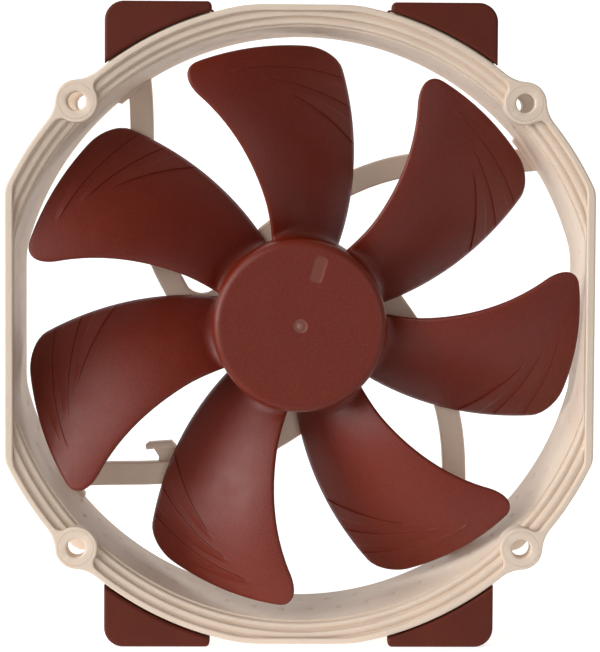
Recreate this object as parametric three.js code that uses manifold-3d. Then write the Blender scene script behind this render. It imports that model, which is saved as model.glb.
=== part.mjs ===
// A 140 mm round-frame case fan: one moulded frame, a seven-bladed rotor, its motor and eight corner pads.
// Units are millimetres. The fan stands upright: +Z is up, the rotor axis is Y, and air enters at -Y.
// The origin is on the rotor axis, midway between the front and rear faces.
import * as THREE from "three";
import { mergeVertices } from "three/addons/utils/BufferGeometryUtils.js";
import Module from "manifold-3d";

const wasm = await Module();
wasm.setup();

// ---------------------------------------------------------------- driving dimensions

const FRAME = {
  depth: 25,
  halfWidth: 69.3,
  halfHeight: 75.3,
  rimRadius: 76.3,
  tubeOuter: 72.2,
  flangeThick: 4.2,
  lipThick: 1.6, // of the straight rims at the top and bottom
  sideWallInner: 67.3, // the duct is flattened here, inside each upright side
  topRimInner: 73.85,
};

// The inlet steps inwards and back: [radius, depth behind the front face] along its inner profile.
const INLET = [
  [74.7, 0],
  [74.6, 1.0],
  [72.7, 1.2],
  [72.6, 2.2],
  [70.9, 2.4],
  [70.8, 3.4],
  [70.3, 3.5],
  [69.9, 6],
  [69.4, 12],
  [69.2, FRAME.depth],
];

const EAR = {
  pitch: 105, // hole to hole, the 120 mm fan pattern
  holeRadius: 2.2,
  radius: 5,
  outerFillet: 9,
  innerFillet: 2.2,
  rimInner: 74.7,
};

const STRUT = { count: 4, width: 5.7, thick: 2.8, filletX: 10.7, filletZ: 24, fillet: 4.7 };
// The upper right strut's centre line as a cubic curve, from the duct wall to the motor base.
const STRUT_CURVE = [
  [60, 39.6],
  [34.2, 36.6],
  [23.1, 44.7],
  [-8, 20],
];
const BASE = {
  radius: 20.6,
  thick: 3.1,
  bossRadius: 7.2,
  bossRise: 0.7,
  bore: 5.1,
  notchWidth: 5.2, // the lead's way out of the edge
  notchInner: 16.6,
};
const LABEL = { radius: 18.2, thick: 0.25, recessRadius: 18.6, recess: 0.55 };
const CLIP = { x: -34, z: -38.6, postWidth: 4.6, reach: 7.8, rise: 8, bar: 2, thick: 2.6, sunk: 0.1 };

const WING = { inner: 21.5, outer: 45.3, top: 75.3, root: 75, corner: 3.9, thick: 1.8 };
const PAD = {
  inner: 21,
  outer: 45.9,
  top: 75.9,
  root: 76.65,
  corner: 4.5,
  endCorner: 1.1,
  front: -0.3,
  thick: 2.7,
};
const PEG = { x: 39.5, z: 69.5, radius: 1.5, hole: 1.85, headRadius: 2.3, headThick: 0.9 };
const GAP = 0.3;

const HUB = { radius: 20.5, front: 0.4, rear: 21.3, edge: 2, wall: 1.7, face: 1.6, blades: 7 };
const BLADE = {
  root: 19.4,
  tip: 66.65,
  rearDepth: 21.1,
  rootThick: 2.0,
  tipThick: 1.3,
  camber: 1.45, // power of the depth along the chord: over 1 is steeper at the rear
  sweepStart: 30, // the front edge sweeps forwards outside this radius
  frontCorner: { along: 8, across: 7.5 }, // the rounded tip corners: along the blade, across it
  rearCorner: { along: 4.5, across: 7.5 },
};

const YOKE = { outer: 18.3, inner: 17.4, front: 2.3, rear: 19, bore: 3.7 };
const MAGNET = { outer: 17.1, inner: 15.9, front: 6, rear: 18.4 };
const SHAFT = { radius: 1.5, front: 2.3, rear: 21.6, groove: 1.15, grooveAt: 20.2, grooveLong: 0.8 };
const BUSH = { outer: 3.4, front: 2.3, rear: 6.2 };
const TUBE = { outer: 4.8, inner: 4.0, front: 7.2, rear: 24.1 };
const SLEEVE = { outer: 3.7, bore: 1.56, front: 9, rear: 19.4 };
const SEAL = { bore: 1.8, front: 7.4, thick: 0.6 };
const THRUST = { front: 21.9, thick: 0.7 };
const CAP = { front: 22.9, thick: 1 };
const RETAINER = { outer: 2.6, bore: 1.35, front: 20.35, thick: 0.5 };
const CORE = {
  poles: 4,
  bore: 5.1,
  ring: 7.6,
  arm: 3,
  shoeInner: 12.9,
  shoeOuter: 14.9,
  front: 9,
  rear: 15.5,
};
const INSULATOR = { thick: 0.7, arm: 4.2, shoeInner: 12.7, shoeOuter: 14.3 };
const COIL = { halfWidth: 2.45, turns: 1.6, inner: 8.3, outer: 11.8, axialGap: 1.3 };
const TERMINAL = { at: 9.6, radius: 0.4, front: 17.2 };
const BOARD = { outer: 15.2, bore: 5.2, front: 19.7, thick: 1.1 };
// The parts on the front of the board: the middle's x and z, then size across, along and off it.
const BOARD_PARTS = {
  driver_chip: [0, -11.6, 5, 3.2, 0.7],
  hall_sensor: [12.2, 5.4, 1.6, 2.6, 0.7],
  capacitor_1: [-11.6, 4.6, 1.4, 2.2, 0.7],
  capacitor_2: [-12.4, -4.4, 1.4, 2.2, 0.7],
  resistor: [5.4, 12, 1.8, 1.1, 0.5],
};

// ---------------------------------------------------------------- materials

function plastic(colour, roughness) {
  return new THREE.MeshStandardMaterial({ color: colour, roughness, metalness: 0 });
}

function metal(colour, roughness) {
  return new THREE.MeshStandardMaterial({ color: colour, roughness, metalness: 1 });
}

const MATERIAL = {
  frame: plastic("#dccabc", 0.6),
  rotor: plastic("#6a3026", 0.5),
  rubber: plastic("#46170e", 0.7),
  steel: metal("#9a9a9c", 0.35),
  brass: metal("#b08d4a", 0.35),
  magnet: plastic("#2b2a2b", 0.8),
  lamination: metal("#6f7278", 0.5),
  copper: metal("#b5652f", 0.4),
  nylon: plastic("#e6e2d6", 0.6),
  board: plastic("#1f4a32", 0.5),
  chip: plastic("#1c1c1e", 0.5),
  label: plastic("#c9c4bb", 0.55),
};

// ---------------------------------------------------------------- booleans

function toSolid(geometry) {
  const bare = geometry.clone();
  bare.deleteAttribute("normal");
  bare.deleteAttribute("uv");
  const merged = mergeVertices(bare, 1e-4);
  return new wasm.Manifold(
    new wasm.Mesh({
      numProp: 3,
      vertProperties: merged.attributes.position.array,
      triVerts: new Uint32Array(merged.index.array),
    }),
  );
}

function toGeometry(solid) {
  const mesh = solid.getMesh();
  const geometry = new THREE.BufferGeometry();
  geometry.setAttribute("position", new THREE.BufferAttribute(mesh.vertProperties, 3));
  geometry.setIndex(new THREE.BufferAttribute(mesh.triVerts, 1));
  geometry.computeVertexNormals();
  return geometry;
}

function join(geometries) {
  return geometries.map(toSolid).reduce((sum, solid) => sum.add(solid));
}

function cut(solid, geometries) {
  return geometries.reduce((left, geometry) => left.subtract(toSolid(geometry)), solid);
}

// ---------------------------------------------------------------- shape helpers

// World Y of a depth behind the front face.
function yAt(depth) {
  return depth - FRAME.depth / 2;
}

// A plate whose outline is drawn as seen from the front, X to the right and Z up.
function plate(shape, front, rear, curveSegments = 6) {
  const geometry = new THREE.ExtrudeGeometry(shape, {
    depth: rear - front,
    bevelEnabled: false,
    curveSegments,
  });
  geometry.rotateX(Math.PI / 2);
  geometry.translate(0, yAt(rear), 0);
  return geometry;
}

// A solid of revolution about the rotor axis from [radius, depth] points, which run from front to rear
// along the outside and back along the inside.
function turned(profile, segments = 24) {
  const points = profile.map(([radius, depth]) => new THREE.Vector2(radius, yAt(depth)));
  if (points[0].x > 0 || points.at(-1).x > 0) points.push(points[0].clone());
  return new THREE.LatheGeometry(points, segments);
}

// A tube or disc about the rotor axis.
function ring(outer, inner, front, rear, segments = 24) {
  const bore = inner > 0 ? inner : 0;
  return turned([[bore, front], [outer, front], [outer, rear], [bore, rear]], segments);
}

// A round bar parallel to the rotor axis at (x, z).
function pin(x, z, radius, front, rear, segments = 12) {
  const geometry = new THREE.CylinderGeometry(radius, radius, rear - front, segments);
  geometry.translate(x, yAt((front + rear) / 2), z);
  return geometry;
}

// A block between two corners, given as [x, depth, z].
function block([x0, d0, z0], [x1, d1, z1]) {
  const geometry = new THREE.BoxGeometry(Math.abs(x1 - x0), Math.abs(d1 - d0), Math.abs(z1 - z0));
  geometry.translate((x0 + x1) / 2, yAt((d0 + d1) / 2), (z0 + z1) / 2);
  return geometry;
}

// A mirrored copy, with its faces turned back outwards where the mirroring reversed them.
function mirrored(geometry, x, y, z) {
  const copy = geometry.index ? geometry.toNonIndexed() : geometry.clone();
  copy.scale(x, y, z);
  if (x * y * z < 0) {
    const position = copy.attributes.position;
    for (let i = 0; i < position.count; i += 3) {
      const second = new THREE.Vector3().fromBufferAttribute(position, i + 1);
      const third = new THREE.Vector3().fromBufferAttribute(position, i + 2);
      position.setXYZ(i + 1, third.x, third.y, third.z);
      position.setXYZ(i + 2, second.x, second.y, second.z);
    }
  }
  return copy;
}

// Turns a copy about the rotor axis, anticlockwise as seen from the front.
function spun(geometry, angle) {
  return geometry.clone().rotateY(-angle);
}

function polar(radius, angle) {
  return new THREE.Vector2(radius * Math.cos(angle), radius * Math.sin(angle));
}

// A round outline or hole, as points, so that its fineness doesn't depend on the rest of a shape.
function circle(x, z, radius, segments = 24) {
  const centre = new THREE.Vector2(x, z);
  return arcPoints(centre, radius, 0, 2 * Math.PI, segments).slice(0, -1);
}

// A closed skin over loops of equal length; each loop's first half is one side and its second half,
// run backwards, is the other, so the two ends close as strips.
function loft(loops) {
  const size = loops[0].length;
  const position = [];
  const triangles = [];
  loops.forEach((loop) => loop.forEach((p) => position.push(p.x, p.y, p.z)));
  for (let row = 0; row + 1 < loops.length; row++) {
    for (let i = 0; i < size; i++) {
      const a = row * size + i;
      const b = row * size + ((i + 1) % size);
      triangles.push(a, b, a + size, b, b + size, a + size);
    }
  }
  const last = (loops.length - 1) * size;
  for (let i = 0; i + 1 < size / 2; i++) {
    const far = size - 1 - i;
    triangles.push(i, far, i + 1, i + 1, far, far - 1);
    triangles.push(last + i, last + i + 1, last + far, last + i + 1, last + far - 1, last + far);
  }
  const geometry = new THREE.BufferGeometry();
  geometry.setAttribute("position", new THREE.Float32BufferAttribute(position, 3));
  geometry.setIndex(triangles);
  return geometry;
}

// ---------------------------------------------------------------- frame

// The angle, seen from the rotor axis, between an ear's centre and a fillet that touches both the ear
// and a circle about the axis; fillets lie outside the circle (side +1) or inside it (side -1).
function filletAngle(circle, fillet, side) {
  const ear = EAR.pitch / Math.SQRT2;
  const toFillet = circle + side * fillet;
  const between = EAR.radius + fillet;
  return Math.acos((toFillet ** 2 + ear ** 2 - between ** 2) / (2 * toFillet * ear));
}

function arcPoints(centre, radius, from, to, steps) {
  const points = [];
  for (let i = 0; i <= steps; i++) {
    points.push(polar(radius, from + ((to - from) * i) / steps).add(centre));
  }
  return points;
}

// One side of an ear's outline: along the fillet from the circle about the axis to the ear.
function filletPoints(circle, fillet, side) {
  const angle = filletAngle(circle, fillet, side);
  const centre = polar(circle + side * fillet, angle);
  const ear = new THREE.Vector2(EAR.pitch / Math.SQRT2, 0);
  const toEar = ear.clone().sub(centre).angle();
  const toAxis = side > 0 ? centre.clone().negate().angle() : centre.angle();
  let turn = toEar - toAxis;
  if (turn > Math.PI) turn -= 2 * Math.PI;
  if (turn < -Math.PI) turn += 2 * Math.PI;
  return arcPoints(centre, fillet, toAxis, toAxis + turn, 4);
}

// An ear's outline about the +X direction: round its hole, with soft fillets into the rim on both sides.
function earShape() {
  const ear = new THREE.Vector2(EAR.pitch / Math.SQRT2, 0);
  const outer = filletPoints(FRAME.rimRadius - 0.05, EAR.outerFillet, 1);
  const inner = filletPoints(EAR.rimInner + 0.05, EAR.innerFillet, -1);
  const outerEnd = outer.at(-1).clone().sub(ear).angle();
  const innerEnd = inner.at(-1).clone().sub(ear).angle();
  const flip = (p) => new THREE.Vector2(p.x, -p.y);
  const outline = [
    ...outer,
    ...arcPoints(ear, EAR.radius, outerEnd, -outerEnd, 8).slice(1, -1),
    ...outer.map(flip).reverse(),
    ...inner.map(flip),
    ...arcPoints(ear, EAR.radius, 2 * Math.PI - innerEnd, innerEnd, 6).slice(1, -1),
    ...inner.slice().reverse(),
  ];
  return new THREE.Shape(outline);
}

function earDirections() {
  return [1, 3, 5, 7].map((eighth) => (eighth * Math.PI) / 4);
}

// The duct with its stepped inlet and both flanges, before the flats are cut.
function ductRing() {
  const { rimRadius, tubeOuter, flangeThick, depth } = FRAME;
  const outside = [
    [rimRadius, 0],
    [rimRadius, flangeThick],
    [tubeOuter, flangeThick],
    [tubeOuter, depth - flangeThick],
    [rimRadius, depth - flangeThick],
    [rimRadius, depth],
  ];
  return turned([INLET[0], ...outside, ...INLET.slice(1).reverse()], 88);
}

// What the flats leave: the body inside the upright sides and the top and bottom.
function flatSides() {
  const { halfWidth, halfHeight, depth } = FRAME;
  return block([-halfWidth, -1, -halfHeight], [halfWidth, depth + 1, halfHeight]);
}

// The upright walls that flatten the duct on both sides, and the rim that follows each flat.
function flatWalls() {
  const { sideWallInner, halfWidth, halfHeight, topRimInner, tubeOuter } = FRAME;
  const { flangeThick, lipThick, depth } = FRAME;
  const walls = [];
  const tall = Math.sqrt(tubeOuter ** 2 - halfWidth ** 2) + 1;
  const rimTall = Math.sqrt(EAR.rimInner ** 2 - sideWallInner ** 2);
  const rimWide = Math.sqrt(EAR.rimInner ** 2 - topRimInner ** 2);
  for (const side of [-1, 1]) {
    walls.push(block([side * sideWallInner, 0, -tall], [side * halfWidth, depth, tall]));
    walls.push(block([side * sideWallInner, 0, -rimTall], [side * halfWidth, flangeThick, rimTall]));
    walls.push(block([-rimWide, 0, side * topRimInner], [rimWide, lipThick, side * halfHeight]));
  }
  return walls;
}

// The right upper corner of a wing or pad: straight outside edges, and an arc that follows the rim.
function cornerShape({ inner, outer, top, root, corner, endCorner = 0.8 }) {
  const rimAt = (x) => Math.sqrt(root ** 2 - x ** 2);
  const shape = new THREE.Shape();
  shape.moveTo(outer, rimAt(outer));
  shape.lineTo(outer, top - corner);
  shape.absarc(outer - corner, top - corner, corner, 0, Math.PI / 2, false);
  shape.lineTo(inner + endCorner, top);
  shape.absarc(inner + endCorner, top - endCorner, endCorner, Math.PI / 2, Math.PI, false);
  shape.lineTo(inner, rimAt(inner));
  shape.absarc(0, 0, root, Math.atan2(rimAt(inner), inner), Math.atan2(rimAt(outer), outer), true);
  return shape;
}

// The wing behind a front pad, with the hole that its pad's peg passes through.
function wing() {
  const rear = FRAME.flangeThick + GAP;
  const shape = cornerShape(WING);
  shape.holes.push(new THREE.Path(circle(PEG.x, PEG.z, PEG.hole, 12)));
  return plate(shape, rear - WING.thick, rear);
}

const CORNERS = [
  ["top_left", -1, 1],
  ["top_right", 1, 1],
  ["bottom_left", -1, -1],
  ["bottom_right", 1, -1],
];
const FACES = [
  ["front", 1],
  ["rear", -1],
];

// A swept strut from the upper right of the duct wall to the top of the motor base.
function strut() {
  const centre = new THREE.CubicBezierCurve(...STRUT_CURVE.map(([x, z]) => new THREE.Vector2(x, z)));
  const left = [];
  const right = [];
  const steps = 12;
  for (let i = 0; i <= steps; i++) {
    const t = i / steps;
    const point = centre.getPoint(t);
    const tangent = centre.getTangent(t);
    const across = new THREE.Vector2(-tangent.y, tangent.x).multiplyScalar(STRUT.width / 2);
    left.push(point.clone().add(across));
    right.push(point.clone().sub(across));
  }
  return plate(new THREE.Shape([...left, ...right.reverse()]), FRAME.depth - STRUT.thick, FRAME.depth);
}

// The web that fills the inner corner between a strut and the motor base, with a round fillet.
function strutWeb() {
  const { thick, filletX, filletZ, fillet } = STRUT;
  const fromAxis = Math.hypot(filletX, filletZ);
  const inward = 1 - (fillet + 0.3) / fromAxis;
  const web = new THREE.Shape([
    new THREE.Vector2(-6, 17),
    new THREE.Vector2(filletX * inward, filletZ * inward),
    new THREE.Vector2(filletX, filletZ),
    new THREE.Vector2(filletX - 0.5, filletZ + fillet + 0.8),
    new THREE.Vector2(-6, 21.5),
  ]);
  const solid = toSolid(plate(web, FRAME.depth - STRUT.thick, FRAME.depth));
  return toGeometry(cut(solid, [pin(filletX, filletZ, fillet, 0, FRAME.depth + 1, 32)]));
}

function struts() {
  const turns = Array.from({ length: STRUT.count }, (_, i) => (i * 2 * Math.PI) / STRUT.count);
  return turns.flatMap((turn) => [spun(strut(), turn), spun(strutWeb(), turn)]);
}

// The hook that keeps the lead on the lower left strut.
function leadClip() {
  const { x, z, postWidth, reach, rise, bar, thick, sunk } = CLIP;
  const rear = FRAME.depth - sunk;
  return [
    block([x, rear - thick, z], [x + postWidth, rear, z + rise]),
    block([x + postWidth - reach, rear - thick, z + rise - bar], [x + postWidth, rear, z + rise]),
  ];
}

function motorBase() {
  const front = FRAME.depth - BASE.thick;
  return [
    ring(BASE.radius, BASE.bore, front, FRAME.depth, 48),
    ring(BASE.bossRadius, BASE.bore, front - BASE.bossRise, front + 0.5),
  ];
}

function baseCuts() {
  const { depth } = FRAME;
  const { radius, thick, notchWidth, notchInner } = BASE;
  const leadNotch = block(
    [-notchWidth / 2, depth - thick - 1, -radius - 1],
    [notchWidth / 2, depth + 1, -notchInner],
  );
  return [
    ring(LABEL.recessRadius, 0, depth - LABEL.recess, depth + 1, 48),
    spun(leadNotch, -Math.PI / 4),
  ];
}

function screwHoles() {
  const at = EAR.pitch / 2;
  return CORNERS.map(([, x, z]) => pin(x * at, z * at, EAR.holeRadius, -1, FRAME.depth + 1, 16));
}

function frameSolid() {
  const { flangeThick, depth } = FRAME;
  const clipped = toSolid(ductRing()).intersect(toSolid(flatSides()));
  const ears = [];
  for (const angle of earDirections()) {
    ears.push(spun(plate(earShape(), 0, flangeThick), angle));
    ears.push(spun(plate(earShape(), depth - flangeThick, depth), angle));
  }
  const wings = FACES.flatMap(([, y]) => CORNERS.map(([, x, z]) => mirrored(wing(), x, y, z)));
  const pieces = [...flatWalls(), ...ears, ...wings, ...motorBase(), ...struts(), ...leadClip()];
  return cut(clipped.add(join(pieces)), [...screwHoles(), ...baseCuts()]);
}

// ---------------------------------------------------------------- pads

// A soft corner pad with the headed peg that holds it in its wing.
function padGeometry() {
  const back = PAD.front + PAD.thick;
  const wingRear = FRAME.flangeThick + GAP;
  const headFront = wingRear + GAP;
  const body = plate(cornerShape(PAD), PAD.front, back);
  const peg = pin(PEG.x, PEG.z, PEG.radius, back - 1, headFront + 0.2);
  const head = pin(PEG.x, PEG.z, PEG.headRadius, headFront, headFront + PEG.headThick);
  return toGeometry(join([body, peg, head]));
}

// ---------------------------------------------------------------- rotor

// How far a radius is along the blade, from 0 at the hub and inside it to 1 at the tip.
function span(radius) {
  return Math.max(radius - HUB.radius, 0) / (BLADE.tip - HUB.radius);
}

const DEGREE = Math.PI / 180;

// The blade's front edge: it starts deep at the hub, and comes forward and sweeps round to the tip.
function frontEdge(radius) {
  const outside = Math.max(radius - BLADE.sweepStart, 0) / (BLADE.tip - BLADE.sweepStart);
  const inside = Math.max(BLADE.sweepStart - radius, 0);
  return {
    angle: (2.95 + 11.9 * outside ** 1.65 + 0.035 * inside ** 2) * DEGREE,
    depth: 1 + 9.4 * (1 - span(radius)) ** 2.6,
  };
}

// The blade's rear edge, at one depth all along.
function rearEdge(radius) {
  return { angle: (-40.8 + 20.3 * span(radius)) * DEGREE, depth: BLADE.rearDepth };
}

// Depth of the blade's middle surface at a share of the way from its front edge to its rear edge.
function bladeDepth(radius, share) {
  const from = frontEdge(radius).depth;
  return from + (rearEdge(radius).depth - from) * share ** BLADE.camber;
}

// How much of the chord a rounded tip corner takes off at a radius, in millimetres.
function cornerInset(radius, { along, across }) {
  const into = Math.max(radius - (BLADE.tip - along), 0) / along;
  return across * (1 - Math.sqrt(Math.max(1 - into ** 2, 0)));
}

// One closed cross-section of a blade, on a cylinder about the axis.
function bladeLoop(radius, chordSteps) {
  const front = frontEdge(radius).angle;
  const rear = rearEdge(radius).angle;
  const chord = front - rear;
  const frontInset = cornerInset(radius, BLADE.frontCorner) / radius / chord;
  const rearInset = cornerInset(radius, BLADE.rearCorner) / radius / chord;
  const thick = BLADE.rootThick + (BLADE.tipThick - BLADE.rootThick) * span(radius);
  const near = [];
  const far = [];
  for (let i = 0; i <= chordSteps; i++) {
    const even = i / chordSteps;
    const share = frontInset + even * (1 - frontInset - rearInset);
    const angle = front - chord * share;
    const half = (thick / 2) * Math.max(Math.sin(Math.PI * even) ** 0.4, 0.3);
    const depth = bladeDepth(radius, share);
    const x = radius * Math.cos(angle);
    const z = radius * Math.sin(angle);
    near.push(new THREE.Vector3(x, yAt(depth - half), z));
    far.push(new THREE.Vector3(x, yAt(depth + half), z));
  }
  return [...near, ...far.reverse()];
}

function bladeGeometry() {
  const steps = 12;
  const radii = [];
  for (let i = 0; i <= steps; i++) {
    const share = Math.sin(((i / steps) * Math.PI) / 2) ** 0.9;
    radii.push(BLADE.root + (BLADE.tip - 0.05 - BLADE.root) * share);
  }
  return loft(radii.map((radius) => bladeLoop(radius, 9)));
}

function hubGeometry() {
  const { radius, front, rear, edge, wall, face } = HUB;
  const rounding = [];
  for (let i = 0; i <= 3; i++) {
    const angle = ((3 - i) / 3) * (Math.PI / 2);
    rounding.push([radius - edge + edge * Math.cos(angle), front + edge - edge * Math.sin(angle)]);
  }
  const inside = [
    [radius, rear],
    [radius - wall, rear],
    [radius - wall, front + face],
    [0, front + face],
  ];
  return turned([[0, front], ...rounding, ...inside], 56);
}

function impellerGeometry() {
  const blades = Array.from({ length: HUB.blades }, (_, i) =>
    spun(bladeGeometry(), (i * 2 * Math.PI) / HUB.blades),
  );
  const inside = ring(HUB.radius - HUB.wall, 0, HUB.front + HUB.face, HUB.rear + 3, 56);
  return toGeometry(cut(join([hubGeometry(), ...blades]), [inside]));
}

// ---------------------------------------------------------------- motor

function yokeGeometry() {
  const { outer, inner, front, rear, bore } = YOKE;
  const wall = outer - inner;
  return turned([
    [bore, front],
    [outer - 0.5, front],
    [outer, front + 0.5],
    [outer, rear],
    [inner, rear],
    [inner, front + wall],
    [bore, front + wall],
  ]);
}

function shaftGeometry() {
  const { radius, front, rear, groove, grooveAt, grooveLong } = SHAFT;
  return turned(
    [
      [0, front],
      [radius - 0.2, front],
      [radius, front + 0.2],
      [radius, grooveAt],
      [groove, grooveAt],
      [groove, grooveAt + grooveLong],
      [radius, grooveAt + grooveLong],
      [radius, rear - 0.4],
      [radius - 0.5, rear],
      [0, rear],
    ],
  );
}

// The outline shared by the laminations and the insulators: a ring, arms and curved pole shoes.
function poleShape(arm, shoeInner, shoeOuter, halfShoe) {
  const shape = new THREE.Shape();
  const quarter = Math.PI / 2;
  const armAt = Math.asin(arm / 2 / CORE.ring);
  for (let i = 0; i < CORE.poles; i++) {
    const middle = i * quarter;
    const side = new THREE.Vector2(-Math.sin(middle), Math.cos(middle)).multiplyScalar(arm / 2);
    const along = polar(Math.sqrt(shoeInner ** 2 - arm ** 2 / 4), middle);
    const low = along.clone().sub(side);
    const high = along.clone().add(side);
    if (i === 0) shape.moveTo(...polar(CORE.ring, middle - armAt).toArray());
    shape.lineTo(low.x, low.y);
    shape.absarc(0, 0, shoeInner, low.angle(), middle - halfShoe, true);
    shape.absarc(0, 0, shoeOuter, middle - halfShoe, middle + halfShoe, false);
    shape.absarc(0, 0, shoeInner, middle + halfShoe, high.angle(), true);
    shape.absarc(0, 0, CORE.ring, middle + armAt, middle + quarter - armAt, false);
  }
  shape.holes.push(new THREE.Path(circle(0, 0, CORE.bore)));
  return shape;
}

function coreGeometry() {
  return plate(poleShape(CORE.arm, CORE.shoeInner, CORE.shoeOuter, 0.6), CORE.front, CORE.rear, 4);
}

function insulatorGeometry(front) {
  const { thick, arm, shoeInner, shoeOuter } = INSULATOR;
  return plate(poleShape(arm, shoeInner, shoeOuter, 0.5), front, front + thick, 4);
}

// A wound coil about the pole on the +X side.
function coilGeometry() {
  const middle = (CORE.front + CORE.rear) / 2;
  const halfLong = (CORE.rear - CORE.front) / 2 + COIL.axialGap;
  const outline = roundedRectangle(COIL.halfWidth + COIL.turns, halfLong + COIL.turns, 1.6);
  const hole = roundedRectangle(COIL.halfWidth, halfLong, 0.5);
  outline.holes.push(new THREE.Path(hole.getPoints(3)));
  const geometry = new THREE.ExtrudeGeometry(outline, {
    depth: COIL.outer - COIL.inner,
    bevelEnabled: false,
    curveSegments: 3,
  });
  geometry.rotateX(Math.PI / 2);
  geometry.rotateZ(Math.PI / 2);
  geometry.rotateX(-Math.PI / 2);
  geometry.translate(COIL.inner, yAt(middle), 0);
  return geometry;
}

function roundedRectangle(halfWidth, halfHeight, corner) {
  const shape = new THREE.Shape();
  const x = halfWidth - corner;
  const y = halfHeight - corner;
  shape.absarc(x, y, corner, 0, Math.PI / 2, false);
  shape.absarc(-x, y, corner, Math.PI / 2, Math.PI, false);
  shape.absarc(-x, -y, corner, Math.PI, 1.5 * Math.PI, false);
  shape.absarc(x, -y, corner, 1.5 * Math.PI, 2 * Math.PI, false);
  shape.closePath();
  return shape;
}

function boardGeometry() {
  const { outer, bore, front, thick } = BOARD;
  return ring(outer, bore, front, front + thick, 36);
}

function boardPart([x, z, wide, tall, rise]) {
  const rear = BOARD.front - GAP;
  return block([x - wide / 2, rear - rise, z - tall / 2], [x + wide / 2, rear, z + tall / 2]);
}

// ---------------------------------------------------------------- assembly

function named(name, geometry, material) {
  const mesh = new THREE.Mesh(geometry, material);
  mesh.name = name;
  return mesh;
}

function housing() {
  const group = new THREE.Group();
  group.add(named("frame", toGeometry(frameSolid()), MATERIAL.frame));
  for (const [face, y] of FACES) {
    for (const [corner, x, z] of CORNERS) {
      const name = `${face}_pad_${corner}`;
      group.add(named(name, mirrored(padGeometry(), x, y, z), MATERIAL.rubber));
    }
  }
  const labelFront = FRAME.depth - LABEL.thick;
  group.add(named("rear_label", ring(LABEL.radius, 0, labelFront, FRAME.depth, 48), MATERIAL.label));
  return group;
}

function rotor() {
  const group = new THREE.Group();
  const magnet = ring(MAGNET.outer, MAGNET.inner, MAGNET.front, MAGNET.rear);
  const bush = ring(BUSH.outer, SHAFT.radius + GAP, BUSH.front, BUSH.rear);
  const { outer, bore, front, thick } = RETAINER;
  group.add(named("impeller", impellerGeometry(), MATERIAL.rotor));
  group.add(named("rotor_yoke", yokeGeometry(), MATERIAL.steel));
  group.add(named("magnet_ring", magnet, MATERIAL.magnet));
  group.add(named("shaft", shaftGeometry(), MATERIAL.steel));
  group.add(named("shaft_bush", bush, MATERIAL.brass));
  group.add(named("shaft_clip", ring(outer, bore, front, front + thick), MATERIAL.nylon));
  return group;
}

function bearing() {
  const group = new THREE.Group();
  const inside = TUBE.inner - GAP;
  const tube = ring(TUBE.outer, TUBE.inner, TUBE.front, TUBE.rear);
  const sleeve = ring(SLEEVE.outer, SLEEVE.bore, SLEEVE.front, SLEEVE.rear);
  const seal = ring(inside, SEAL.bore, SEAL.front, SEAL.front + SEAL.thick);
  const thrust = ring(inside, 0, THRUST.front, THRUST.front + THRUST.thick);
  const cap = ring(inside, 0, CAP.front, CAP.front + CAP.thick);
  group.add(named("bearing_tube", tube, MATERIAL.brass));
  group.add(named("bearing_sleeve", sleeve, MATERIAL.brass));
  group.add(named("oil_seal", seal, MATERIAL.nylon));
  group.add(named("thrust_pad", thrust, MATERIAL.nylon));
  group.add(named("bearing_cap", cap, MATERIAL.steel));
  return group;
}

function stator() {
  const group = new THREE.Group();
  const { thick } = INSULATOR;
  group.add(named("stator_core", coreGeometry(), MATERIAL.lamination));
  group.add(named("front_insulator", insulatorGeometry(CORE.front - GAP - thick), MATERIAL.nylon));
  group.add(named("rear_insulator", insulatorGeometry(CORE.rear + GAP), MATERIAL.nylon));
  for (let i = 0; i < CORE.poles; i++) {
    const turn = (i * Math.PI) / 2;
    const at = polar(TERMINAL.at, turn + Math.PI / 4);
    const terminal = pin(at.x, at.y, TERMINAL.radius, TERMINAL.front, BOARD.front - GAP, 8);
    group.add(named(`coil_${i + 1}`, spun(coilGeometry(), turn), MATERIAL.copper));
    group.add(named(`terminal_pin_${i + 1}`, terminal, MATERIAL.steel));
  }
  return group;
}

function electronics() {
  const group = new THREE.Group();
  group.add(named("circuit_board", boardGeometry(), MATERIAL.board));
  for (const [name, place] of Object.entries(BOARD_PARTS)) {
    group.add(named(name, boardPart(place), MATERIAL.chip));
  }
  return group;
}

const fan = new THREE.Group();
fan.add(housing(), rotor(), bearing(), stator(), electronics());

export default fan;
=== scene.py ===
"""A round-frame 140 mm case fan, rebuilt in detail around its CAD frame.

Shapes are worked out in millimetres: x to the right, z up, and depth behind the front face. The
last step of each shape turns them into metres, with the front face at y = -depth / 2.
"""

import math

import bmesh
import bpy
import numpy as np
from mathutils import Matrix, Vector


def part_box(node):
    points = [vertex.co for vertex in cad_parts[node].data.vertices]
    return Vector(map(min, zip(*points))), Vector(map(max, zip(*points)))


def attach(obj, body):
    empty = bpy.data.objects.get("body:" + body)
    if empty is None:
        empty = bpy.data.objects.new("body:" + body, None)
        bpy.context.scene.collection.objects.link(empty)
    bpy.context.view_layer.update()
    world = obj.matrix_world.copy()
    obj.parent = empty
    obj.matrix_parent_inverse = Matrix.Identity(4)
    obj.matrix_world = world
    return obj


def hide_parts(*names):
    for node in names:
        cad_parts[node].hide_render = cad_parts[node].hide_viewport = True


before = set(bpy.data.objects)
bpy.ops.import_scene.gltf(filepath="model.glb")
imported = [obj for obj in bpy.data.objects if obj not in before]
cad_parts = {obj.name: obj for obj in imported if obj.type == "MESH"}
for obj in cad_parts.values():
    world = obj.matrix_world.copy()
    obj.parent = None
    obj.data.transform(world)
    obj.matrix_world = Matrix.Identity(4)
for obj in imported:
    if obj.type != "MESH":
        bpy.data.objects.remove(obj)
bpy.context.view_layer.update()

# ---------------------------------------------------------------- dimensions, in millimetres

MM = 0.001
DEPTH = 25.0
TURN = 2 * math.pi

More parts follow.
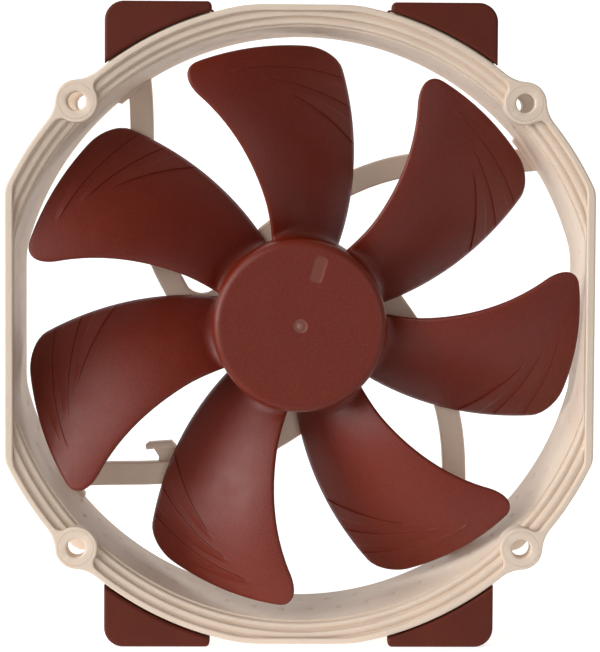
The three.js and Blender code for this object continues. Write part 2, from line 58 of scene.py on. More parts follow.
RIM = 76.3  # outer radius of both flanges
FLANGE = 4.2
TUBE = 72.2  # outer radius between the flanges
FLAT_X = 69.3
FLAT_Z = 75.3
WALL_X = 67.3  # the duct is flattened here, inside each upright side
LIP_Z = 73.85
LIP = 74.7  # inner radius of the front face
CORNER_SOFT = 0.6
EDGE = 0.45  # rounding of the flanges' edges
LIP_EDGE = 0.3
WALL_EDGE = 0.35
ROOT = 0.25  # the small fillet between a flange and the duct
FACE_BORDER = 0.6  # width of the flat strip inside each rounded edge

EAR_AT = 105 / math.sqrt(2)
EAR_RADIUS = 5.0
EAR_OUT = {"rim": RIM - 0.05, "fillet": 9.0}
EAR_IN = {"rim": LIP + 0.05, "fillet": 2.2}
HOLE = 2.2
HOLE_RING = 4.15

# The stepped inlet as (radius, depth), from the groove behind the front face to the duct wall.
STEPS = [
    (74.64, 0.9),
    (74.58, 1.32),
    (74.42, 1.36),
    (74.1, 1.14),
    (73.6, 1.02),
    (73.1, 1.04),
    (72.82, 1.18),
    (72.7, 1.5),
    (72.62, 2.36),
    (72.5, 2.5),
    (72.36, 2.5),
    (72.1, 2.3),
    (71.6, 2.2),
    (71.2, 2.24),
    (70.98, 2.42),
    (70.9, 2.75),
    (70.84, 3.42),
    (70.74, 3.52),
    (70.55, 3.46),
    (70.36, 3.5),
    (70.26, 3.7),
    (70.18, 4.2),
]
# The duct wall's own taper: depths, and the radius at each.
WALL = ([4.2, 6, 12, DEPTH], [70.15, 69.9, 69.4, 69.2])

# Two staggered rows of small hollows in the duct wall. The rows are depths, and the offset is a share
# of the pitch.
DIMPLE = {
    "count": 64,
    "rows": (10.4, 18.4),
    "radius": 69.5,
    "offset": 0.42,
    "long": 2.5,
    "wide": 1.24,
    "deep": 0.3,
}

STRUT_WIDTH = 5.7
STRUT_THICK = 2.8
STRUT_PATH = [(60, 39.6), (34.2, 36.6), (23.1, 44.7), (-8, 20)]
STRUT_END = math.radians(123)  # where its outer edge meets the base's edge
STRUT_WEB = {"x": 10.7, "z": 24, "fillet": 4.7}
STRUT_FOOT = {"radius": 68.35, "from": 32.4, "to": 39.8}  # where the duct wall thickens at each strut
BASE_RADIUS = 20.6
BASE_THICK = 3.1
NOTCH = {"half_width": 2.6, "inner": 16.6}
LABEL_RADIUS = 18.2
LABEL_THICK = 0.25
LABEL_RECESS = (18.6, 0.55)

WING = {"inner": 21.5, "outer": 45.3, "top": 75.3, "root": 75.0, "corner": 3.9, "end_corner": 0.8}
PAD = {"inner": 21.0, "outer": 45.9, "top": 75.9, "root": 76.65, "corner": 4.5, "end_corner": 1.1}
WING_THICK = 1.8
PAD_FRONT = -0.3
PAD_THICK = 2.7
PEG_AT = (39.5, 69.5)
GAP = 0.3

HUB_RADIUS = 20.5
HUB_FRONT = 0.4
HUB_REAR = 21.3
HUB_EDGE = 2.0
HUB_WALL = 1.7
HUB_FACE = 1.6
SLOT = {"middle": (4.2, 13.3), "wide": 2.9, "long": 6.3, "corner": 0.9, "edge": 0.35, "deep": 0.16}
BLADES = 7
TIP = 66.65
BLADE_ROOT = 19.4
BLADE_REAR = 21.1
BLADE_THICK = {"root": 2.0, "tip": 1.3, "edge": 0.8}
BLADE_CORNER = {"front": 8, "rear": 4.5, "across": 7.5}

# The three flow channels of a blade. Each starts at a point, at a share of the chord and a radius,
# and opens towards the rear edge between an inner line and an outer line.
CHANNELS = [
    {"start": 0.525, "radius": 56.1, "inner": (11.0, 1.0), "outer": (6.8, 1.15)},
    {"start": 0.41, "radius": 59.5, "inner": (6.0, 1.05), "outer": (2.2, 2.2)},
    {"start": 0.26, "radius": 62.4, "inner": (2.25, 1.4), "outer": (-1.65, 0.6)},
]
CHANNEL_STEP = 0.34
CHANNEL_LIP = 0.14


def y_at(depth):
    return depth - DEPTH / 2


# ---------------------------------------------------------------- materials


def new_material(name):
    material = bpy.data.materials.new(name)
    material.use_nodes = True
    tree = material.node_tree
    return material, tree, tree.nodes["Principled BSDF"]


def add_node(tree, kind, links=None, **values):
    """A node with its named inputs or settings filled in, and its inputs linked."""
    made = tree.nodes.new(kind)
    for key, value in values.items():
        if hasattr(made, key):
            setattr(made, key, value)
        else:
            made.inputs[key.replace("_", " ").title()].default_value = value
    for socket, source in (links or {}).items():
        tree.links.new(source, made.inputs[socket])
    return made


def noise(tree, scale, detail=3.0, roughness=0.55):
    where = add_node(tree, "ShaderNodeTexCoord").outputs["Object"]
    return add_node(
        tree, "ShaderNodeTexNoise", {"Vector": where}, scale=scale, detail=detail, roughness=roughness
    ).outputs["Fac"]


def mapped(tree, value, low, high, to_low, to_high):
    made = add_node(tree, "ShaderNodeMapRange", {"Value": value})
    for socket, number in zip(("From Min", "From Max", "To Min", "To Max"), (low, high, to_low, to_high)):
        made.inputs[socket].default_value = number
    return made.outputs["Result"]


def mixed(tree, factor, first, second, blend="MIX"):
    """A colour mix; first and second are colours or output sockets."""
    made = tree.nodes.new("ShaderNodeMix")
    made.data_type = "RGBA"
    made.blend_type = blend
    for socket, value in ((made.inputs[0], factor), (made.inputs[6], first), (made.inputs[7], second)):
        if isinstance(value, bpy.types.NodeSocket):
            tree.links.new(value, socket)
        else:
            socket.default_value = value
    return made.outputs[2]


def linear(red, green, blue):
    """An sRGB colour of 0 to 255 as the linear colour that shaders take."""

    def channel(value):
        value /= 255
        return value / 12.92 if value <= 0.04045 else ((value + 0.055) / 1.055) ** 2.4

    return (channel(red), channel(green), channel(blue), 1.0)


def shade(colour, factor):
    return tuple(min(part * factor, 1.0) for part in colour[:3]) + (1.0,)


def surface(name, colour, rough, grain, bump, mottle=0.08, metallic=0.0, edge_wear_and_highlight=0.1, gloss=0.5, speck=0.14):
    """A moulded or machined surface: cloudy colour, fine grain in colour and relief, lighter edges that
    are partly wear and partly a painted highlight, and less gloss where it turns away. The grain is its
    size across in millimetres, and the bump is its height there."""
    material, tree, shader = new_material(name)
    cloud = noise(tree, 90, 4)
    cloudy = mapped(tree, cloud, 0.3, 0.7, 0, 1)
    base = mixed(tree, cloudy, shade(colour, 1 - mottle), shade(colour, 1 + mottle))
    fine = noise(tree, 1 / (grain * MM), 2, 0.6)
    dark, light = (1 - speck,) * 3 + (1,), (1 + speck,) * 3 + (1,)
    grainy = mixed(tree, mapped(tree, fine, 0.25, 0.75, 0, 1), dark, light)
    base = mixed(tree, 1.0, base, grainy, "MULTIPLY")
    # Sharp edges, found by pointiness, are painted lighter: partly edge wear and partly a painted highlight.
    edge = add_node(tree, "ShaderNodeNewGeometry").outputs["Pointiness"]
    edge = mapped(tree, edge, 0.52, 0.62, 0, edge_wear_and_highlight)
    base = mixed(tree, edge, base, shade(colour, 1.6))
    tree.links.new(base, shader.inputs["Base Color"])
    streak = noise(tree, 260, 5, 0.6)
    tree.links.new(mapped(tree, streak, 0.3, 0.7, rough - 0.05, rough + 0.07), shader.inputs["Roughness"])
    shader.inputs["Metallic"].default_value = metallic
    rim = add_node(tree, "ShaderNodeLayerWeight").outputs["Facing"]
    tree.links.new(mapped(tree, rim, 0.6, 0.9, gloss, gloss * 0.05), shader.inputs["Specular IOR Level"])
    relief = add_node(
        tree, "ShaderNodeBump", {"Height": fine}, strength=1.0, distance=bump * MM
    )
    tree.links.new(relief.outputs["Normal"], shader.inputs["Normal"])
    return material


def polished(material):
    """Makes the marks that the mould left smoother and a little lighter, where a mesh's polish
    attribute says so."""
    tree = material.node_tree
    shader = tree.nodes["Principled BSDF"]
    mark = add_node(tree, "ShaderNodeAttribute", attribute_name="polish").outputs["Fac"]
    for socket, light in (("Base Color", (0.24, 0.11, 0.08, 1)), ("Roughness", (0.3, 0.3, 0.3, 1))):
        plain = shader.inputs[socket].links[0].from_socket
        tree.links.new(mixed(tree, mark, plain, light), shader.inputs[socket])
    return material


def make_materials():
    beige, brown = linear(218, 198, 179), linear(105, 28, 7)
    rotor = surface("brown_moulding", brown, 0.43, 0.3, 0.05, 0.04, edge_wear_and_highlight=0.0, gloss=0.4, speck=0.34)
    return {
        "frame": surface("beige_moulding", beige, 0.5, 0.3, 0.012, 0.03, edge_wear_and_highlight=0.12, speck=0.03),
        "rotor": polished(rotor),
        "pad": surface("brown_rubber", linear(86, 30, 14), 0.6, 0.25, 0.02, 0.08, edge_wear_and_highlight=0.04, gloss=0.22),
        "steel": surface("steel", linear(170, 170, 172), 0.3, 0.4, 0.004, metallic=1.0),
        "brass": surface("brass", linear(190, 155, 88), 0.32, 0.4, 0.004, metallic=1.0),
        "magnet": surface("magnet", linear(46, 45, 46), 0.75, 0.25, 0.01),
        "lamination": surface("lamination", linear(118, 122, 128), 0.45, 0.3, 0.006, metallic=0.9),
        "copper": surface("copper", linear(190, 104, 52), 0.35, 0.25, 0.03, metallic=1.0),
        "nylon": surface("nylon", linear(230, 226, 214), 0.5, 0.3, 0.008),
        "board": surface("board", linear(30, 72, 48), 0.42, 0.35, 0.008),
        "chip": surface("chip", linear(30, 30, 32), 0.5, 0.2, 0.008),
        "label": surface("label", linear(204, 199, 190), 0.4, 0.5, 0.004, 0.04, metallic=0.3),
    }


# ---------------------------------------------------------------- mesh helpers


def points_mm(x, depth, z):
    """Grid points in metres from millimetre arrays of one shape."""
    return np.stack([x, y_at(depth), z], -1) * MM


def grid_faces(rows, columns, wrap_rows=False, wrap_columns=False, start=0):
    """Quads over a grid of points stored row by row."""
    row = np.arange(rows if wrap_rows else rows - 1)
    column = np.arange(columns if wrap_columns else columns - 1)
    row, column = (part.ravel() for part in np.meshgrid(row, column, indexing="ij"))
    after_row = (row + 1) % rows
    after_column = (column + 1) % columns
    corners = [(row, column), (row, after_column), (after_row, after_column), (after_row, column)]
    return start + np.stack([r * columns + c for r, c in corners], 1)


def make_object(name, vertices, faces):
    mesh = bpy.data.meshes.new(name)
    mesh.from_pydata(np.asarray(vertices).reshape(-1, 3).tolist(), [], [list(map(int, f)) for f in faces])
    mesh.validate()
    made = bpy.data.objects.new(name, mesh)
    bpy.context.scene.collection.objects.link(made)
    return made


def outward(made, drop_empty=False):
    """Merges points that meet, turns all faces to point out of the solid, and, if asked, drops faces
    without an area."""
    solid = bmesh.new()
    solid.from_mesh(made.data)
    bmesh.ops.remove_doubles(solid, verts=solid.verts, dist=1e-7)
    if drop_empty:
        bmesh.ops.dissolve_degenerate(solid, edges=solid.edges, dist=1e-8)
    bmesh.ops.recalc_face_normals(solid, faces=solid.faces)
    solid.to_mesh(made.data)
    solid.free()
    return made


def apply_modifiers(made):
    shown = made.evaluated_get(bpy.context.evaluated_depsgraph_get())
    mesh = bpy.data.meshes.new_from_object(shown)
    made.modifiers.clear()
    made.data = mesh
    return made


def combine(made, others, operation, solver="MANIFOLD"):
    """Adds or cuts away other closed objects, which are then deleted."""
    for other in others:
        modifier = made.modifiers.new("combine", "BOOLEAN")
        modifier.operation = operation
        modifier.solver = solver
        modifier.object = other
    apply_modifiers(made)
    for other in others:
        bpy.data.objects.remove(other)
    return made


def finish_piece(made, material, body, slot, *nodes, sharp=38):
    """Smooth shading that stays flat on flat faces, the material, and the piece's place in the part."""
    made.data.materials.clear()
    made.data.materials.append(material)
    made.data.shade_smooth()
    made.data.set_sharp_from_angle(angle=math.radians(sharp))
    weighted = made.modifiers.new("flat faces stay flat", "WEIGHTED_NORMAL")
    weighted.keep_sharp = True
    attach(made, body)
    if nodes:
        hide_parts(*nodes)
    return made


def lathe(name, profile, segments, centre=(0, 0)):
    """A closed solid of revolution about a line parallel to the rotor axis, from [radius, depth]."""
    profile = np.array(profile, float)
    angle = np.arange(segments) * TURN / segments
    x = centre[0] + profile[:, :1] * np.cos(angle)
    z = centre[1] + profile[:, :1] * np.sin(angle)
    depth = np.repeat(profile[:, 1:], segments, 1)
    faces = grid_faces(len(profile), segments, True, True)
    return outward(make_object(name, points_mm(x, depth, z), faces), drop_empty=True)


def arc(centre, radius, start, end, steps):
    angle = np.linspace(start, end, steps + 1)
    return np.stack([centre[0] + radius * np.cos(angle), centre[1] + radius * np.sin(angle)], 1)


def inset_outline(outline, amount):
    """The outline moved inwards by an amount, along the mitre at each point; it runs anticlockwise."""
    before = outline - np.roll(outline, 1, 0)
    after = np.roll(outline, -1, 0) - outline
    before /= np.linalg.norm(before, axis=1, keepdims=True)
    after /= np.linalg.norm(after, axis=1, keepdims=True)
    inward = np.stack([-before[:, 1] - after[:, 1], before[:, 0] + after[:, 0]], 1)
    inward /= np.linalg.norm(inward, axis=1, keepdims=True)
    square = inward[:, 0] * -before[:, 1] + inward[:, 1] * before[:, 0]
    return outline + inward * amount / np.maximum(square, 0.4)[:, None]


def rounded_plate(name, outline, front, rear, front_edge, rear_edge=None, steps=4):
    """A plate with rounded front and rear edges. Its outline is given as seen from the front."""
    rear_edge = front_edge if rear_edge is None else rear_edge
    outline = np.array(outline, float)
    area = np.sum(outline[:, 0] * np.roll(outline[:, 1], -1) - np.roll(outline[:, 0], -1) * outline[:, 1])
    if area < 0:
        outline = outline[::-1]
    angles = np.linspace(0, math.pi / 2, steps + 1)
    loops = [(front_edge * (1 - math.sin(a)), front + front_edge * (1 - math.cos(a))) for a in angles]
    loops += [(rear_edge * (1 - math.cos(a)), rear - rear_edge * (1 - math.sin(a))) for a in angles]
    rings = [inset_outline(outline, inset) for inset, _ in loops]
    depths = [np.full(len(outline), depth) for _, depth in loops]
    vertices = [points_mm(ring[:, 0], depth, ring[:, 1]) for ring, depth in zip(rings, depths)]
    count = len(outline)
    faces = grid_faces(len(loops), count, False, True).tolist()
    faces.append(list(range(count)))
    faces.append(list(range(len(loops) * count - 1, (len(loops) - 1) * count - 1, -1)))
    return outward(make_object(name, np.concatenate(vertices), faces))


# ---------------------------------------------------------------- frame


def soft_min(first, second, width=CORNER_SOFT):
    """The smaller of two radii, with the corner between them rounded off."""
    near = np.clip(width - np.abs(first - second), 0, None) / width
    return np.minimum(first, second) - near**2 * width / 4


def flattened(radius, angle, flat_x, flat_z=None):
    """A circle about the axis, cut by upright flats and, if given, by level ones."""
    made = soft_min(radius, flat_x / np.maximum(np.abs(np.cos(angle)), 1e-6))
    if flat_z is not None:
        made = soft_min(made, flat_z / np.maximum(np.abs(np.sin(angle)), 1e-6))
    return made


def off_ear(angle):
    """How far an angle is from the nearest ear."""
    return np.abs((angle % (TURN / 4)) - TURN / 8)


def ear_contour(angle, offset, rim, fillet, side):
    """Radius of the outline that runs along a rim circle and round the ears, moved into the solid by
    an offset. Side +1 is the outside outline, and -1 the inside one."""
    to_fillet = rim + side * fillet
    between = EAR_RADIUS + fillet
    fillet_at = math.acos((to_fillet**2 + EAR_AT**2 - between**2) / (2 * to_fillet * EAR_AT))
    centre = to_fillet * np.array([math.cos(fillet_at), math.sin(fillet_at)]) - [EAR_AT, 0]
    touch = np.array([EAR_AT, 0]) + centre / np.linalg.norm(centre) * (EAR_RADIUS - offset)
    touch_at = math.atan2(touch[1], touch[0])
    off = off_ear(angle)
    ear_side = EAR_AT * np.sin(off)
    ear = EAR_AT * np.cos(off) + side * np.sqrt(np.maximum((EAR_RADIUS - offset) ** 2 - ear_side**2, 0))
    fillet_side = to_fillet * np.sin(fillet_at - off)
    reach = np.sqrt(np.maximum((fillet + offset) ** 2 - fillet_side**2, 0))
    curve = to_fillet * np.cos(fillet_at - off) - side * reach
    made = np.full_like(angle, rim - side * offset)
    made = np.where(off < fillet_at, curve, made)
    return np.where(off < touch_at, ear, made)


def outer_contour(angle, offset):
    ears = ear_contour(angle, offset, side=1, **EAR_OUT)
    return flattened(ears, angle, FLAT_X - offset, FLAT_Z - offset)


def lip_contour(angle, offset):
    ears = ear_contour(angle, offset, side=-1, **EAR_IN)
    return flattened(ears, angle, WALL_X + offset, LIP_Z + offset)


def stations():
    """Angles round the frame, closer together at the ears and closest on their steep sides."""
    count = 14 * DIMPLE["count"]
    angles = [np.arange(count) * TURN / count]
    for ear in (1, 3, 5, 7):
        for reach, step in (((0, 7), 0.28), ((3.1, 4.6), 0.1)):
            off = np.arange(reach[0], reach[1], step)
            angles += [ear * TURN / 8 + np.radians(off), ear * TURN / 8 - np.radians(off)]
    angles = np.unique(np.round(np.concatenate(angles) % TURN, 7))
    keep = np.append(True, np.diff(angles) > math.radians(0.025))
    return angles[keep]


def dimple(angle, depth):
    """How far the two staggered rows of small hollows in the duct wall go in."""
    pitch = TURN / DIMPLE["count"]
    deep = np.zeros_like(angle)
    for row, at in enumerate(DIMPLE["rows"]):
        along = ((angle / pitch + row * DIMPLE["offset"]) % 1 - 0.5) * pitch * DIMPLE["radius"]
        away = (2 * along / DIMPLE["wide"]) ** 2 + (2 * (depth - at) / DIMPLE["long"]) ** 2
        deep += DIMPLE["deep"] * np.clip(1 - away, 0, 1) ** 0.7
    return deep


def quarter(radius, steps=3):
    """(offset, depth) of a rounded edge, from its face to its side."""
    angles = np.linspace(0, math.pi / 2, steps + 1)
    return [(radius * (1 - math.sin(a)), radius * (1 - math.cos(a))) for a in angles]


def front_rows(angle):
    """From the front edge over the front face and the steps, as (radius, depth)."""
    rows = [(outer_contour(angle, offset), depth) for offset, depth in quarter(EDGE)[::-1]]
    rows += [(outer_contour(angle, FACE_BORDER), 0), (lip_contour(angle, 1.5 * LIP_EDGE), 0)]
    rows += [(lip_contour(angle, offset), depth) for offset, depth in quarter(LIP_EDGE)]
    ear_wall = ear_contour(angle, 0, side=-1, **EAR_IN)
    rows += [(np.minimum(flattened(radius, angle, WALL_X), ear_wall), depth) for radius, depth in STEPS]
    return rows


def wall_rows(angle):
    """Down the duct wall to the rear face, with more rows where the small hollows are."""
    depths = [4.6, 6.0, 8.0, 14.4, 21.6, 24.4]
    for at in DIMPLE["rows"]:
        for share in (0.14, 0.36, 0.52):
            depths += [at - DIMPLE["long"] * share, at + DIMPLE["long"] * share]
    rows = []
    for depth in sorted(depths):
        wall = flattened(np.interp(depth, *WALL), angle, WALL_X)
        rows.append((wall + dimple(angle, depth), depth))
    end = flattened(WALL[1][-1], angle, WALL_X)
    rows += [(end + offset, DEPTH - depth) for offset, depth in quarter(WALL_EDGE)[::-1]]
    rows.append((end + WALL_EDGE + 0.15, DEPTH))
    return rows


def outside_rows(angle):
    """From the rear face forwards along the outside: rear flange, duct, front flange."""
    tube = flattened(TUBE, angle, FLAT_X)
    root = ROOT * (outer_contour(angle, 0) - tube > 2 * ROOT)
    edge = [(outer_contour(angle, offset), depth) for offset, depth in quarter(EDGE)]
    inner_edge = [(np.maximum(radius, tube), depth) for radius, depth in edge]
    rows = [(outer_contour(angle, FACE_BORDER), DEPTH)]
    rows += [(radius, DEPTH - depth) for radius, depth in edge]
    rows += [(radius, DEPTH - FLANGE + depth) for radius, depth in inner_edge[::-1]]
    rows += [(tube + root, DEPTH - FLANGE), (tube, DEPTH - FLANGE - ROOT)]
    rows += [(tube, FLANGE + ROOT), (tube + root, FLANGE)]
    rows += [(radius, FLANGE - depth) for radius, depth in inner_edge]
    return rows


def frame_shell():
    """The duct with its stepped inlet, flats, flanges and ears as one closed skin."""
    angle = stations()
    rows = front_rows(angle) + wall_rows(angle) + outside_rows(angle)
    everywhere = np.ones_like(angle)
    radius = np.array([r * everywhere for r, _ in rows])
    depth = np.array([d * everywhere for _, d in rows])
    x = radius * np.cos(angle)
    z = radius * np.sin(angle)
    faces = grid_faces(len(rows), len(angle), True, True)
    return outward(make_object("frame_moulding", points_mm(x, depth, z), faces))


def screw_cutters():
    """For each ear a drill with softly flared ends, and a fine ring round the hole."""
    cutters = []
    flare = [(0.55, -0.6), (0.5, -0.05), (0.28, 0.04), (0.1, 0.16), (0, 0.4)]
    flare = [(0.0, -0.6)] + [(HOLE + out, depth) for out, depth in flare]
    for x in (-1, 1):
        for z in (-1, 1):
            at = (x * EAR_AT / math.sqrt(2), z * EAR_AT / math.sqrt(2))
            front = flare + [(radius, FLANGE - depth) for radius, depth in flare[::-1]]
            rear = [(radius, DEPTH - depth) for radius, depth in front]
            cutters.append(lathe("drill", front, 64, at))
            cutters.append(lathe("drill", rear, 64, at))
            ring = [(HOLE_RING - 0.16, -0.2), (HOLE_RING + 0.16, -0.2), (HOLE_RING, 0.1)]
            cutters.append(lathe("ring", ring, 96, at))
    return cutters


def bezier(points, share):
    a, b, c, d = (np.array(p, float) for p in points)
    t = share[:, None]
    place = a * (1 - t) ** 3 + 3 * b * t * (1 - t) ** 2 + 3 * c * t**2 * (1 - t) + d * t**3
    along = 3 * (b - a) * (1 - t) ** 2 + 6 * (c - b) * t * (1 - t) + 3 * (d - c) * t**2
    along /= np.linalg.norm(along, axis=1, keepdims=True)
    return place, along


def turned(outline, angle):
    """An outline turned about the axis, anticlockwise as seen from the front."""
    cos, sin = math.cos(angle), math.sin(angle)
    return np.array(outline) @ np.array([[cos, sin], [-sin, cos]])


def strut_outline():
    """A swept strut that runs from inside the duct wall to the motor base, with a rounded end."""
    place, along = bezier(STRUT_PATH, np.linspace(0, 1, 49))
    across = np.stack([-along[:, 1], along[:, 0]], 1) * STRUT_WIDTH / 2
    inner = place + across
    outer = place - across
    end = BASE_RADIUS * np.array([math.cos(STRUT_END), math.sin(STRUT_END)])
    pull = outer[-1] + along[-1] * 1.6
    bend = np.linspace(0, 1, 12)[1:]
    tail = np.array([outer[-1] * (1 - t) ** 2 + 2 * pull * t * (1 - t) + end * t**2 for t in bend])
    inside = end * 0.8
    return np.concatenate([inner, [(-2, 13), inside], tail[::-1], outer[::-1]])


def web_outline():
    """The filled inner corner between a strut and the base, with its round fillet."""
    x, z, fillet = STRUT_WEB["x"], STRUT_WEB["z"], STRUT_WEB["fillet"]
    curve = arc((x, z), fillet, math.radians(243), math.radians(119), 28)
    return np.concatenate([[(-6, 15), (9, 17.2)], curve, [(7, 31), (-6, 21.5)]])


def foot_outline():
    """A strip of the duct wall's rear edge that stands a little further in, round a strut's end."""
    start, end = math.radians(STRUT_FOOT["from"]), math.radians(STRUT_FOOT["to"])
    inner = arc((0, 0), STRUT_FOOT["radius"], start, end, 16)
    outer = arc((0, 0), 70, end + math.radians(1), start - math.radians(1), 16)
    return np.concatenate([inner, outer])


def spider():
    """The motor base and its four struts."""
    front = DEPTH - BASE_THICK
    disc = rounded_plate("disc", arc((0, 0), BASE_RADIUS, 0, TURN, 180)[:-1], front, DEPTH, 0.35, 0.5)
    pieces = []
    for step in range(4):
        for outline, front_edge, thick in (
            (strut_outline(), 0.55, STRUT_THICK),
            (web_outline(), 0.3, STRUT_THICK - 0.06),
            (foot_outline(), 0.25, STRUT_THICK + 0.5),
        ):
            outline = turned(outline, step * TURN / 4)
            pieces.append(rounded_plate("strut", outline, DEPTH - thick, DEPTH - 0.02, front_edge, 0.3))
    boss = [(0, -0.7), (6.9, -0.7), (7.2, -0.4), (7.2, 0.5), (0, 0.5)]
    pieces.append(lathe("boss", [(radius, front + depth) for radius, depth in boss], 96))
    return disc, pieces


def corner_outline(sizes):
    """The right upper corner of a wing or pad: straight outside edges, and an arc along the rim."""
    inner, outer, top, root = (sizes[key] for key in ("inner", "outer", "top", "root"))
    corner, end_corner = sizes["corner"], sizes["end_corner"]
    inner_at = math.acos(inner / root)
    outer_at = math.acos(outer / root)
    return np.concatenate(
        [
            arc((outer - corner, top - corner), corner, 0, math.pi / 2, 14),
            arc((inner + end_corner, top - end_corner), end_corner, math.pi / 2, math.pi, 6),
            arc((0, 0), root, inner_at, outer_at, 40),
        ]
    )


def corners():
    """(name, x side, z side) of the four corners."""
    for level, z in (("top", 1), ("bottom", -1)):
        for side, x in (("left", -1), ("right", 1)):
            yield f"{level}_{side}", x, z


def on_both_faces(near, far):
    """(front, rear) depths of a layer at each face of the fan."""
    return {"front": (near, far), "rear": (DEPTH - far, DEPTH - near)}


def wings():
    """The plates behind the pads, each with the hole for its pad's peg."""
    rear = FLANGE + GAP
    made = []
    for face, (near, far) in on_both_faces(rear - WING_THICK, rear).items():
        for name, x, z in corners():
            plate = rounded_plate(f"wing_{face}_{name}", corner_outline(WING) * (x, z), near, far, 0.3)
            centre = (PEG_AT[0] * x, PEG_AT[1] * z)
            profile = [(0, near - 1), (1.85, near - 1), (1.85, far + 1), (0, far + 1)]
            drill = lathe("drill", profile, 40, centre)
            made.append(combine(plate, [drill], "DIFFERENCE"))
    return made


def lead_clip():
    """The hook that keeps the lead on the lower left strut: a neck that leans to the left, and a
    thicker bar across its end."""
    rear = DEPTH - 0.1
    neck = [(-34.6, -38.5), (-29, -38.5), (-29.4, -33.4), (-30.6, -31.2), (-36.2, -31.9), (-34.5, -34.6)]
    bar = [(-37.5, -32.7), (-32.4, -32.1), (-30.2, -32.2), (-31.2, -30.5), (-36.9, -30.9), (-37.7, -31.6)]
    return [
        rounded_plate("neck", neck, rear - 1.7, rear, 0.3),
        rounded_plate("bar", bar, rear - 3.2, rear - 0.1, 0.4),
    ]


def label_cutter():
    radius, deep = LABEL_RECESS
    profile = [(0, -deep), (radius - 0.2, -deep), (radius, 0.2 - deep), (radius, 1), (0, 1)]
    return lathe("recess", [(radius, DEPTH + depth) for radius, depth in profile], 180)


def lead_notch():
    """The opening in the base's lower left edge, where the lead comes out."""
    half, inner, outer = NOTCH["half_width"], NOTCH["inner"], BASE_RADIUS + 2
    outline = [(-half, -outer), (half, -outer), (half, -inner), (-half, -inner)]
    return rounded_plate("notch", turned(outline, -TURN / 8), DEPTH - BASE_THICK - 1.5, DEPTH + 1.5, 0.3)


def build_frame(material):
    shell = frame_shell()
    combine(shell, screw_cutters(), "DIFFERENCE")
    combine(shell, wings(), "UNION")
    disc, struts = spider()
    combine(disc, struts + lead_clip(), "UNION")
    combine(disc, [label_cutter(), lead_notch()], "DIFFERENCE")
    combine(shell, [disc], "UNION")
    return finish_piece(shell, material, "housing", "frame", "frame")


def build_pads(material):
    """The rubber corner pads, each with the headed peg that holds it in its wing."""
    back = PAD_FRONT + PAD_THICK
    head = FLANGE + 2 * GAP
    profile = [(0, back - 1), (1.5, back - 1), (1.5, head), (2.1, head), (2.3, head + 0.2)]
    profile += [(2.3, head + 0.6), (1.9, head + 0.9), (0, head + 0.9)]
    for face, (near, far) in on_both_faces(PAD_FRONT, back).items():
        turned_profile = [(radius, depth if face == "front" else DEPTH - depth) for radius, depth in profile]
        for name, x, z in corners():
            outline = corner_outline(PAD) * (x, z)
            edges = (0.75, 0.3) if face == "front" else (0.3, 0.75)
            pad = rounded_plate(f"{face}_pad_{name}", outline, near, far, *edges, steps=6)
            peg = lathe("peg", turned_profile, 40, (PEG_AT[0] * x, PEG_AT[1] * z))
            combine(pad, [peg], "UNION")
            finish_piece(pad, material, "housing", "pad", f"{face}_pad_{name}")


def build_label(material):
    front = DEPTH - LABEL_THICK
    profile = [(0, front), (LABEL_RADIUS, front), (LABEL_RADIUS, DEPTH - 0.08)]
    profile += [(LABEL_RADIUS - 0.08, DEPTH), (0, DEPTH)]
    return finish_piece(lathe("label", profile, 180), material, "housing", "label", "rear_label")


# ---------------------------------------------------------------- impeller


def span(radius):
    """How far along the blade a radius is: 0 at the hub and 1 at the tip."""
    return np.clip((radius - HUB_RADIUS) / (TIP - HUB_RADIUS), 0, 1)


def front_edge(radius):
    """Angle and depth of a blade's front edge."""
    outside = np.maximum(radius - 30, 0) / (TIP - 30)
    inside = np.maximum(30 - radius, 0)
    angle = np.radians(2.95 + 11.9 * outside**1.65 + 0.035 * inside**2)
    return angle, 1 + 9.4 * (1 - span(radius)) ** 2.6


def rear_edge(radius):
    return np.radians(-40.8 + 20.3 * span(radius))


def corner_inset(radius, along):
    """How much of the chord a rounded tip corner takes off at a radius."""
    into = np.clip((radius - (TIP - along)) / along, 0, 1)
    return BLADE_CORNER["across"] * (1 - np.sqrt(1 - into**2))


def channel_line(channel, share, side):
    """Radius of a channel's inner or outer line along the chord."""
    drop, power = channel[side]
    along = np.clip((share - channel["start"]) / (1 - channel["start"]), 0, 1)
    apart = 0.3 if side == "outer" else -0.3
    return channel["radius"] + apart - drop * along**power


def blade_rows(share):
    """Radius and raised height of each row of a blade's grid at one share of the chord. The rows
    follow the channel lines, so that the small steps there stay crisp."""
    radii = list(np.interp(np.linspace(0, 1, 12), [0, 0.25, 1], [BLADE_ROOT, HUB_RADIUS + 0.3, 24.6]))
    heights = [0.0] * len(radii)
    for channel in CHANNELS:
        inner = float(channel_line(channel, share, "inner"))
        outer = float(channel_line(channel, share, "outer"))
        grown = float(np.clip((share - channel["start"]) / 0.09, 0, 1))
        rise = CHANNEL_STEP * grown
        lip = CHANNEL_LIP * grown
        gap = np.linspace(radii[-1], inner - 0.3, 15 if channel is CHANNELS[0] else 5)[1:-1]
        radii += list(gap) + [inner - 0.3, inner - 0.09, inner + 0.09, inner + 0.28]
        heights += [0.0] * len(gap) + [0.0, 0.08 * rise, 0.94 * rise, rise]
        between = np.linspace(inner + 0.28, outer - 0.25, 5)[1:-1]
        radii += list(between) + [outer - 0.25, outer - 0.06, outer + 0.1, outer + 0.3]
        heights += list(np.interp([1, 2, 3], [0, 4], [rise, lip])) + [lip, 0.9 * lip, 0.1 * lip, 0.0]
    top = np.linspace(radii[-1], TIP - 0.8, 5)[1:]
    radii += list(top) + [TIP - 0.5, TIP - 0.25, TIP - 0.08, TIP]
    heights += [0.0] * (len(radii) - len(heights))
    return np.array(radii), np.array(heights)


def edge_round(distance, edge):
    """1 in the middle of a blade, falling as a quarter circle to 0 at its very edge."""
    return np.sqrt(1 - (1 - np.clip(distance / edge, 0, 1)) ** 2)


